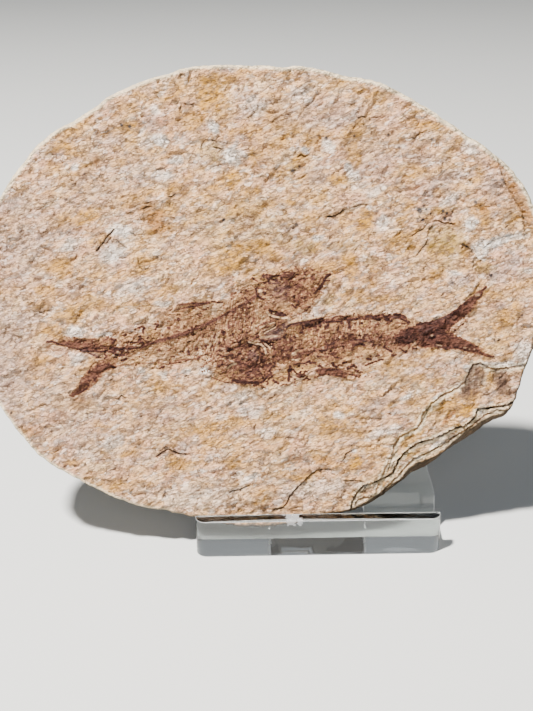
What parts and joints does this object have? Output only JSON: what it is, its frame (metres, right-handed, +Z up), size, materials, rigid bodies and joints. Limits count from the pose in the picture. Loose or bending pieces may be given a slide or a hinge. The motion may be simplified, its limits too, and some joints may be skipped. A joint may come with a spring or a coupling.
{
  "type": "fossil fish slab",
  "caption": "Oval plate of split limestone with small fossil fish in low relief, leaning back on a clear plastic display easel that stands on its flat foot.",
  "frame": {"origin": "on the table, under the middle of the object's bounding box", "axes": "+Z up, -Y out of the easel's front towards the viewer, +X to the viewer's right; the plate's long side runs along X"},
  "size_m": [0.1737, 0.06, 0.1423],
  "materials": {
    "stone": "rough split limestone, pinkish beige with ochre and grey patches",
    "bone": "dark red-brown fossil bone, faintly shiny",
    "clear_plastic": "clear, polished"
  },
  "bodies": {
    "root": {"slab": "stone", "fish_left": "bone", "fish_right": "bone", "easel": "clear_plastic"}
  },
  "joints": []
}
